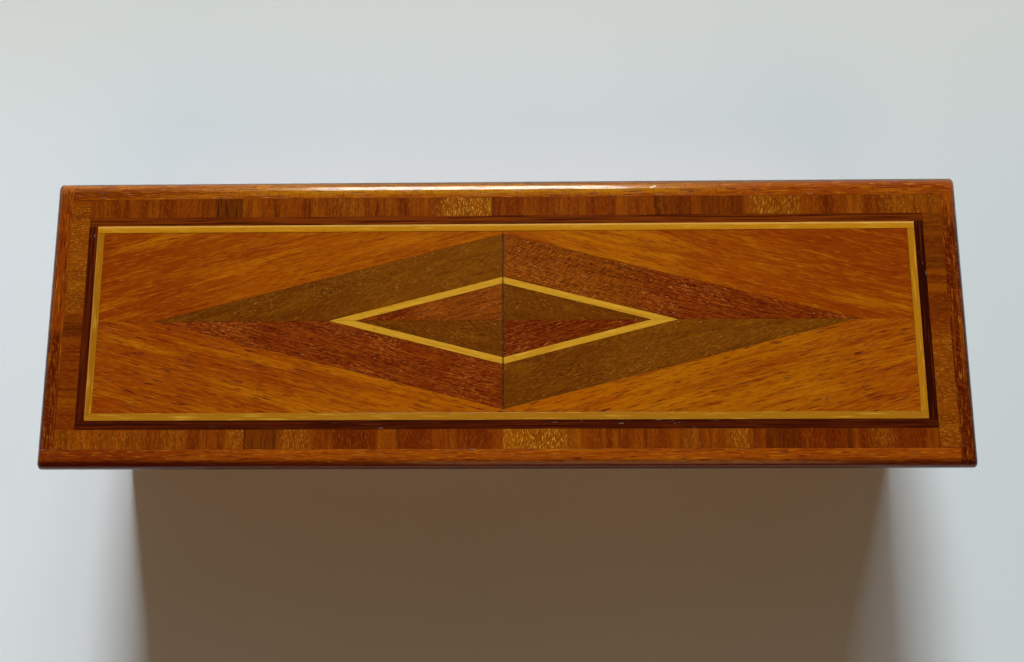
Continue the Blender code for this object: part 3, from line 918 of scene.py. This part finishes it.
@dataclass
class LidFrame:
    """The four solid strips round the lid, rolled over along their tops."""

    half_length: float = 115.0 * MM
    half_width: float = 36.5 * MM
    strip: float = 4.9 * MM
    low: float = 37.0 * MM
    high: float = 44.0 * MM
    roll: float = 2.8 * MM
    back_reach: float = 3.3 * MM
    roll_steps: int = 14
    corner: float = 1.0 * MM
    corner_steps: int = 6
    ease: float = 0.3 * MM
    ease_steps: int = 2
    nick: float = 0.03 * MM
    seam: float = 0.02 * MM
    board_step: Place = (0.11, 0.07, 0.0)

    def strip_shape(self, side: Side) -> Shape:
        """Model one strip: it runs through its own corner and butts at the next.

        Args:
            side: The side of the lid.

        Returns:
            The strip in its place.
        """
        run, reach = self.half_length, self.half_width
        if not side.is_long:
            run, reach = reach, run
        near = -reach + self.strip - self.seam
        shape = slab(span(-run, -reach, run - self.strip - self.seam, near), self.low, self.high)

        def is_top_rim(edge: Edge) -> bool:
            """Tell the outer edges of the top."""
            end = all(v.co.x < -run + NEAR for v in edge.verts)
            return level(edge, self.high) and (end or all(v.co.y < -reach + NEAR for v in edge.verts))

        def is_ridge(edge: Edge) -> bool:
            """Tell the upright corner and the ridge that the two rolls meet in."""
            return all(abs((v.co.x + run) - (v.co.y + reach)) < TOUCH
                       and v.co.x + run < self.roll + TOUCH for v in edge.verts)

        def is_foot_rim(edge: Edge) -> bool:
            """Tell the outer edges of the underside."""
            x, y, _ = (edge.verts[0].co + edge.verts[1].co) / 2
            return level(edge, self.low) and (y < -reach + self.corner or x < -run + self.corner)

        def is_inner_rim(edge: Edge) -> bool:
            """Tell the top edge along the veneers."""
            return level(edge, self.high) and all(v.co.y > near - NEAR for v in edge.verts)

        soften(shape, is_top_rim, self.roll, self.roll_steps)
        soften(shape, is_ridge, self.corner, self.corner_steps)
        soften(shape, is_foot_rim, self.ease, self.ease_steps)
        soften(shape, is_inner_rim, self.nick)
        bmesh.ops.rotate(shape, verts=shape.verts, cent=(0.0, 0.0, 0.0),
                         matrix=Matrix.Rotation(math.pi / 2 * side.value, 3, "Z"))
        self.ease_back(shape)
        return shape

    def ease_back(self, shape: Shape) -> None:
        """Draw the roll along the back wider, as it is worn broader there.

        Args:
            shape: The strip in its place.
        """
        share = self.back_reach / self.roll
        rolled = [vertex for vertex in shape.verts if vertex.co.y > self.half_width - self.roll + TOUCH]
        bmesh.ops.scale(shape, vec=(1.0, share, 1.0), verts=rolled,
                        space=Matrix.Translation((0.0, -self.half_width, 0.0)))

    def build(self) -> None:
        """Build the four strips."""
        for side in Side:
            name = f"lipping_{side.label}"
            shift = moved(self.board_step, side.value)
            material = MAHOGANY.dress(name, side.grain, shift, LIPPING_MARKS[side])
            finish_piece(f"{name}_strip", self.strip_shape(side), Body.LID, material, Slot.MAHOGANY, name)


@dataclass
class Veneers:
    """What all the lid's veneers share: their levels and their seams."""

    low: float = 43.30 * MM
    high: float = 44.00 * MM
    seam: float = 0.018 * MM
    nick_steps: int = 2

    def lay(self, name: str, outline: Sequence[Point], finish: Finish, turn: float, shift: Place,
            proud: float = 0.0, nick: float = 0.0, hand: int = 1, extra: Sequence[Mark] = ()) -> None:
        """Cut one veneer and lay it on the lid.

        Args:
            name: The node that it stands for.
            outline: Its corners, anticlockwise.
            finish: Its wood.
            turn: Its grain's turn in degrees.
            shift: Its place in the sheet that it was cut from.
            proud: How far it stands above the rest.
            nick: The small bevel round its face, where it isn't scraped level with its neighbours.
            hand: -1 where it is turned over.
            extra: Marks that its kind has, after its own.
        """
        top = self.high + proud
        shape = slab(draw_in(outline, self.seam), self.low, top)
        if nick:
            soften(shape, lambda edge: level(edge, top), nick, self.nick_steps)
        material = finish.dress(name, turn, shift, (*VENEER_MARKS.get(name, ()), *extra), hand)
        finish_piece(f"{name}_veneer", shape, Body.LID, material, finish.slot, name)


@dataclass
class Banding(Veneers):
    """The crossbanding and the dark and yellow strings inside it."""

    banding_outer: Point = (110.1 * MM, 31.6 * MM)
    dark_outer: Point = (105.3 * MM, 26.8 * MM)
    yellow_outer: Point = (103.1 * MM, 24.6 * MM)
    yellow_inner: Point = (101.3 * MM, 22.8 * MM)
    front_joints: tuple[float, ...] = (-63.5 * MM, 0.0, 63.5 * MM)
    back_joints: tuple[float, ...] = (-66.3 * MM, -2.8 * MM, 60.7 * MM)
    proud: float = 0.06 * MM
    dark_nick: float = 0.015 * MM
    yellow_nick: float = 0.04 * MM
    strip_step: Place = (0.031, 0.019, 0.0)
    strip_side_step: Place = (0.0, 0.17, 0.0)
    end_step: Place = (0.0, 0.21, 0.0)
    end_start: Place = (0.3, 0.0, 0.0)
    string_step: Place = (0.05, 0.0, 0.0)
    string_start: Place = (0.0, 0.03, 0.0)

    def lay_strips(self, side: Side, joints: Sequence[float]) -> None:
        """Lay a long side's crossbanding strip by strip.

        Args:
            side: The front or the back.
            joints: Where the strips meet, ends included.
        """
        outer, inner = self.banding_outer[1], self.dark_outer[1]
        low, high = (-outer, -inner) if side is Side.FRONT else (inner, outer)
        for index, (start, end) in enumerate(zip(joints, joints[1:]), 1):
            shift = moved(self.strip_step, index, moved(self.strip_side_step, side.value))
            self.lay(f"crossband_{side.label}_{index}", span(start, low, end, high), VARIEGATED, 90.0, shift)

    def lay_strings(self, kind: str, outer: Point, inner: Point, finish: Finish, proud: float,
                    nick: float) -> None:
        """Lay one frame of strings, its long sides through both corners.

        Args:
            kind: The string's name.
            outer: Half the frame's outer length and width.
            inner: Half its inner length and width.
            finish: Its wood.
            proud: How far it stands above the veneers.
            nick: The small bevel round its face.
        """
        (x, y), (in_x, in_y) = outer, inner
        outlines = {Side.FRONT: span(-x, -y, x, -in_y), Side.RIGHT: span(in_x, -in_y, x, in_y),
                    Side.BACK: span(-x, in_y, x, y), Side.LEFT: span(-x, -in_y, -in_x, in_y)}
        for side, outline in outlines.items():
            shift = moved(self.string_step, side.value, self.string_start)
            self.lay(f"{kind}_{side.label}", outline, finish, side.grain, shift, proud, nick)

    def build(self) -> None:
        """Lay the crossbanding and both frames of strings."""
        (x, y), (in_x, in_y) = self.banding_outer, self.dark_outer
        self.lay_strips(Side.FRONT, (-x, *self.front_joints, in_x))
        self.lay_strips(Side.BACK, (-in_x, *self.back_joints, x))
        for side, outline in ((Side.RIGHT, span(in_x, -y, x, in_y)), (Side.LEFT, span(-x, -in_y, -in_x, y))):
            shift = moved(self.end_step, side.value, self.end_start)
            self.lay(f"crossband_{side.label}", outline, VARIEGATED, 0.0, shift)
        self.lay_strings("dark_string", self.dark_outer, self.yellow_outer, ROSEWOOD, 0.0, self.dark_nick)
        self.lay_strings("yellow_string", self.yellow_outer, self.yellow_inner, BOXWOOD, self.proud,
                         self.yellow_nick)


@dataclass
class Marquetry(Veneers):
    """The field, the large lozenge, the yellow diamond and what it holds."""

    field_half: Point = (101.3 * MM, 22.8 * MM)
    lozenge_half: Point = (87.35 * MM, 22.05 * MM)
    diamond_half: Point = (43.41 * MM, 10.96 * MM)
    diamond_string: float = 1.6 * MM
    middle_seam: float = 0.03 * MM
    proud: float = 0.03 * MM
    nick: float = 0.02 * MM
    quarter_step: Place = (0.13, 0.09, 0.0)

    def inner_half(self) -> Point:
        """Work out the size inside the yellow diamond.

        Returns:
            Half its length and half its width.
        """
        x, y = self.diamond_half
        distance = x * y / math.hypot(x, y)
        share = (distance - self.diamond_string) / distance
        return x * share, y * share

    def outlines(self) -> dict[str, list[Point]]:
        """Draw the veneers of the back right quarter.

        Returns:
            Each kind's corners, anticlockwise.
        """
        field_x, field_y = self.field_half
        outer_x, outer_y = self.lozenge_half
        string_x, string_y = self.diamond_half
        inner_x, inner_y = self.inner_half()
        seam = self.middle_seam
        return {
            "field": [(seam, outer_y), (outer_x, 0.0), (field_x, 0.0), (field_x, field_y), (seam, field_y)],
            "lozenge": [(seam, string_y), (string_x, 0.0), (outer_x, 0.0), (seam, outer_y)],
            "diamond_string": [(seam, inner_y), (inner_x, 0.0), (string_x, 0.0), (seam, string_y)],
            "inner_lozenge": [(seam, 0.0), (inner_x, 0.0), (seam, inner_y)],
        }

    def build(self) -> None:
        """Lay the four quarters."""
        for number, quarter in enumerate(Quarter):
            outer, inner = (OLIVE, RED) if number % 2 else (RED, OLIVE)
            woods = {"field": PADAUK, "lozenge": outer, "diamond_string": BOXWOOD, "inner_lozenge": inner}
            (across, along), (length, width) = quarter.value, self.lozenge_half
            turn = quarter.slope * math.degrees(math.atan2(width, length))
            for kind, corners in self.outlines().items():
                outline = [(x * across, y * along) for x, y in corners]
                if across != along:
                    outline.reverse()
                proud, nick = (self.proud, self.nick) if kind == "diamond_string" else (0.0, 0.0)
                self.lay(f"{kind}_{quarter.label}", outline, woods[kind], turn,
                         moved(self.quarter_step, number), proud, nick, quarter.slope, KIND_MARKS[kind])


@dataclass
class Lining:
    """The felt that lies on the bottom panel."""

    length: float = 213.4 * MM
    width: float = 56.4 * MM
    low: float = 3.05 * MM
    thickness: float = 1.1 * MM
    lift: float = 0.12 * MM
    swells: float = 60.0
    ruffles: float = 400.0
    ruffle_share: float = 0.4
    columns: int = 150
    rows: int = 40
    rim_angle: float = 1.0
    ease: float = 0.25 * MM
    ease_steps: int = 2

    def shape(self) -> Shape:
        """Model the cloth: a fine grid, gently uneven, given its thickness.

        Returns:
            The cloth in its place.
        """
        shape = bmesh.new()
        bmesh.ops.create_grid(shape, x_segments=self.columns, y_segments=self.rows, size=0.5)
        bmesh.ops.scale(shape, verts=shape.verts, vec=(self.length, self.width, 1.0))
        for vertex in shape.verts:
            swell = (noise.noise(vertex.co * self.swells)
                     + self.ruffle_share * noise.noise(vertex.co * self.ruffles))
            vertex.co.z = self.low + self.thickness + self.lift * (swell - 1.0) / 2
        bmesh.ops.solidify(shape, geom=list(shape.faces), thickness=self.thickness)
        bmesh.ops.recalc_face_normals(shape, faces=shape.faces)
        soften(shape, lambda edge: edge.calc_face_angle(0.0) > self.rim_angle, self.ease, self.ease_steps)
        return shape

    def build(self) -> None:
        """Lay the felt in the box."""
        piece = finish_piece("base_lining_felt", self.shape(), Body.BOX, FELT.dress("base_lining"),
                             Slot.FELT, "base_lining")


@dataclass
class BoxBody:
    """The mitred walls, the bottom panel and what lies under the veneers."""

    wall_start: Place = (0.2, 0.4, 0.0)
    wall_step: Place = (0.0, 0.0, 0.1)
    lid_panel_start: Place = (0.3, 0.1, 0.0)
    balance_start: Place = (0.5, 0.2, 0.0)

    def build(self) -> None:
        """Dress the walls, the bottom, the core and the balancing veneer."""
        for side in Side:
            name = f"{side.label}_wall"
            shift = moved(self.wall_step, side.value, self.wall_start)
            redress(name, MAHOGANY.dress(name, side.grain, shift, WALL_MARKS))
        redress("bottom_panel", CORE.dress("bottom_panel"))
        redress("lid_panel", CORE.dress("lid_panel", 0.0, self.lid_panel_start))
        redress("balance_veneer", MAHOGANY.dress("balance_veneer", 0.0, self.balance_start))


@dataclass
class Hinges:
    """The two brass butt hinges with their screws and pins."""

    sides: tuple[str, ...] = ("left", "right")
    parts: tuple[str, ...] = ("box_leaf", "lid_leaf", "pin", "box_screw_1", "box_screw_2", "lid_screw_1",
                              "lid_screw_2")
    hinge_step: Place = (0.1, 0.0, 0.0)
    part_step: Place = (0.0, 0.05, 0.0)

    def build(self) -> None:
        """Dress each part of both hinges."""
        for number, side in enumerate(self.sides):
            for step, part in enumerate(self.parts):
                name = f"hinge_{side}_{part}"
                shift = moved(self.part_step, step, moved(self.hinge_step, number))
                redress(name, BRASS.dress(name, 0.0, shift))


@dataclass(frozen=True)
class Lamp:
    """A soft rectangular lamp: where it hangs and faces, its size and its power in watts."""

    name: str
    place: Place
    size: Point
    power: float
    aim: Place = (0.0, 0.0, 0.04)
    colour: Colour = (1.0, 1.0, 1.0)
    light: Light = Light.BOTH

    def hang(self) -> None:
        """Hang the lamp in the studio."""
        lamp = bpy.data.lights.new(self.name, "AREA")
        lamp.shape = "RECTANGLE"
        lamp.size, lamp.size_y = self.size
        lamp.energy = self.power
        lamp.color = self.colour
        holder = put(self.name, lamp)
        holder.location = self.place
        holder.rotation_euler = (Vector(self.place) - Vector(self.aim)).to_track_quat("Z", "Y").to_euler()
        holder.visible_glossy = self.light is not Light.COLOUR
        holder.visible_diffuse = self.light is not Light.GLOSS


LAMPS = (
    Lamp("window", (-0.28, 5.07, 2.44), (1.40, 1.50), 566.0, light=Light.COLOUR),
    Lamp("window_side", (1.15, 4.90, 2.44), (0.90, 1.50), 72.0, light=Light.COLOUR),
    Lamp("window_shine", (-0.31, 4.24, 3.82), (2.30, 2.60), 700.0, light=Light.GLOSS),
    Lamp("room", (0.30, -2.20, 1.60), (1.60, 1.60), 22.5, (0.0, 0.0, 0.02), (1.0, 0.55, 0.26)),
)


@dataclass(frozen=True)
class Floor:
    """The pale floor: painted shade turns it greyer to the right and the back, and it fades out far away."""

    half: float = 4.0
    fade: Point = (0.32, 1.05)
    colour: Colour = tone(202, 216, 224)
    light: Colour = tone(206, 220, 228)
    # Painted shade: the greyer colours that the floor turns to on the right and at the back.
    right: Colour = tone(190, 205, 212)
    back: Colour = tone(194, 204, 201)
    turn: Point = (0.02, 0.16)
    cloud_size: Point = (0.25, 0.18)
    cloud_start: Place = (0.4, 0.2, 0.0)
    cloud_levels: Point = (0.3, 0.7)
    roughness: float = 0.80
    specular: float = 0.1

    def dress(self) -> bpy.types.Material:
        """Make the floor's material.

        Returns:
            The finished material.
        """
        graph = Graph("pale_floor")
        clouds = graph.grain(self.cloud_size, 0.0, self.cloud_start, 3.0)
        reach = graph.nodes.new("ShaderNodeVectorMath")
        reach.operation = "LENGTH"
        graph.feed(reach.inputs[0], graph.place)
        gone = graph.math("MULTIPLY", graph.fade(reach.outputs["Value"], *self.fade),
                          graph.rays("Is Camera Ray"))
        colour = graph.mix(graph.fade(clouds, *self.cloud_levels), self.colour, self.light)
        # Painted shade: the floor turns greyer past the box to the right and to the back.
        for axis, painted_shade in ((X, self.right), (Y, self.back)):
            colour = graph.mix(graph.fade(graph.axes.outputs[axis.value], *self.turn), colour, painted_shade)
        graph.set(Base_Color=colour, Roughness=self.roughness, Specular_IOR_Level=self.specular,
                  Alpha=graph.math("SUBTRACT", 1.0, gone))
        return graph.material

    def build(self) -> None:
        """Lay the floor that the box stands on."""
        shape = bmesh.new()
        bmesh.ops.create_grid(shape, x_segments=1, y_segments=1, size=self.half)
        mesh = bpy.data.meshes.new("floor")
        shape.to_mesh(mesh)
        shape.free()
        mesh.materials.append(self.dress())
        put("floor", mesh)


@dataclass
class Studio:
    """The surroundings, the lamps and the camera round the floor."""

    floor: Floor = Floor()
    lamps: tuple[Lamp, ...] = LAMPS
    mirrored: Colour = tone(206, 192, 170)
    horizon: Colour = (0.36, 0.31, 0.26)
    room: Colour = (0.06, 0.035, 0.02)
    zenith: Colour = (0.004, 0.004, 0.004)
    back_turn: Point = (-0.1, 0.6)
    overhead_turn: Point = (0.35, 0.75)
    lens: float = 27.07
    sensor: float = 36.0
    nearest: float = 0.01
    eye: Place = (0.0050, -0.02975, 0.23286)
    look: Place = (-0.14197, -0.01479, 0.00361)

    def light_world(self) -> None:
        """Light the surroundings: pale behind the box, a dark room in front, dark overhead."""
        world = bpy.data.worlds.new("studio")
        bpy.context.scene.world = world
        world.use_nodes = True
        sky = Nodes(world.node_tree, "Generated")
        _, deep, high = sky.axes.outputs
        behind = sky.mix(sky.rays("Is Glossy Ray", "Is Transmission Ray"), self.horizon, self.mirrored)
        around = sky.mix(sky.fade(deep, *self.back_turn), self.room, behind)
        above = sky.mix(sky.fade(high, *self.overhead_turn), around, self.zenith)
        seen = sky.mix(sky.rays("Is Camera Ray"), above, self.floor.colour)
        sky.feed(sky.nodes["Background"].inputs["Color"], seen)

    def set_camera(self) -> None:
        """Set the camera at the photograph's viewing angle."""
        camera = bpy.data.cameras.new("camera")
        camera.lens = self.lens
        camera.sensor_width = self.sensor
        camera.clip_start = self.nearest
        holder = put("camera", camera)
        axis = Vector(self.look)
        holder.matrix_world = (Matrix.Translation(Vector(self.eye))
                               @ Matrix.Rotation(-axis.length, 4, axis.normalized()))
        bpy.context.scene.camera = holder

    def build(self) -> None:
        """Set up the floor, the light and the camera."""
        self.floor.build()
        self.light_world()
        for lamp in self.lamps:
            lamp.hang()
        self.set_camera()
        bpy.context.scene.view_settings.view_transform = "Standard"


def main() -> None:
    """Build the dressed box in order."""
    logging.basicConfig(level=logging.INFO, format="%(message)s")
    for assembly in (LidFrame(), Banding(), Marquetry(), Lining(), BoxBody(), Hinges(), Studio()):
        assembly.build()


if __name__ == "__main__":
    main()
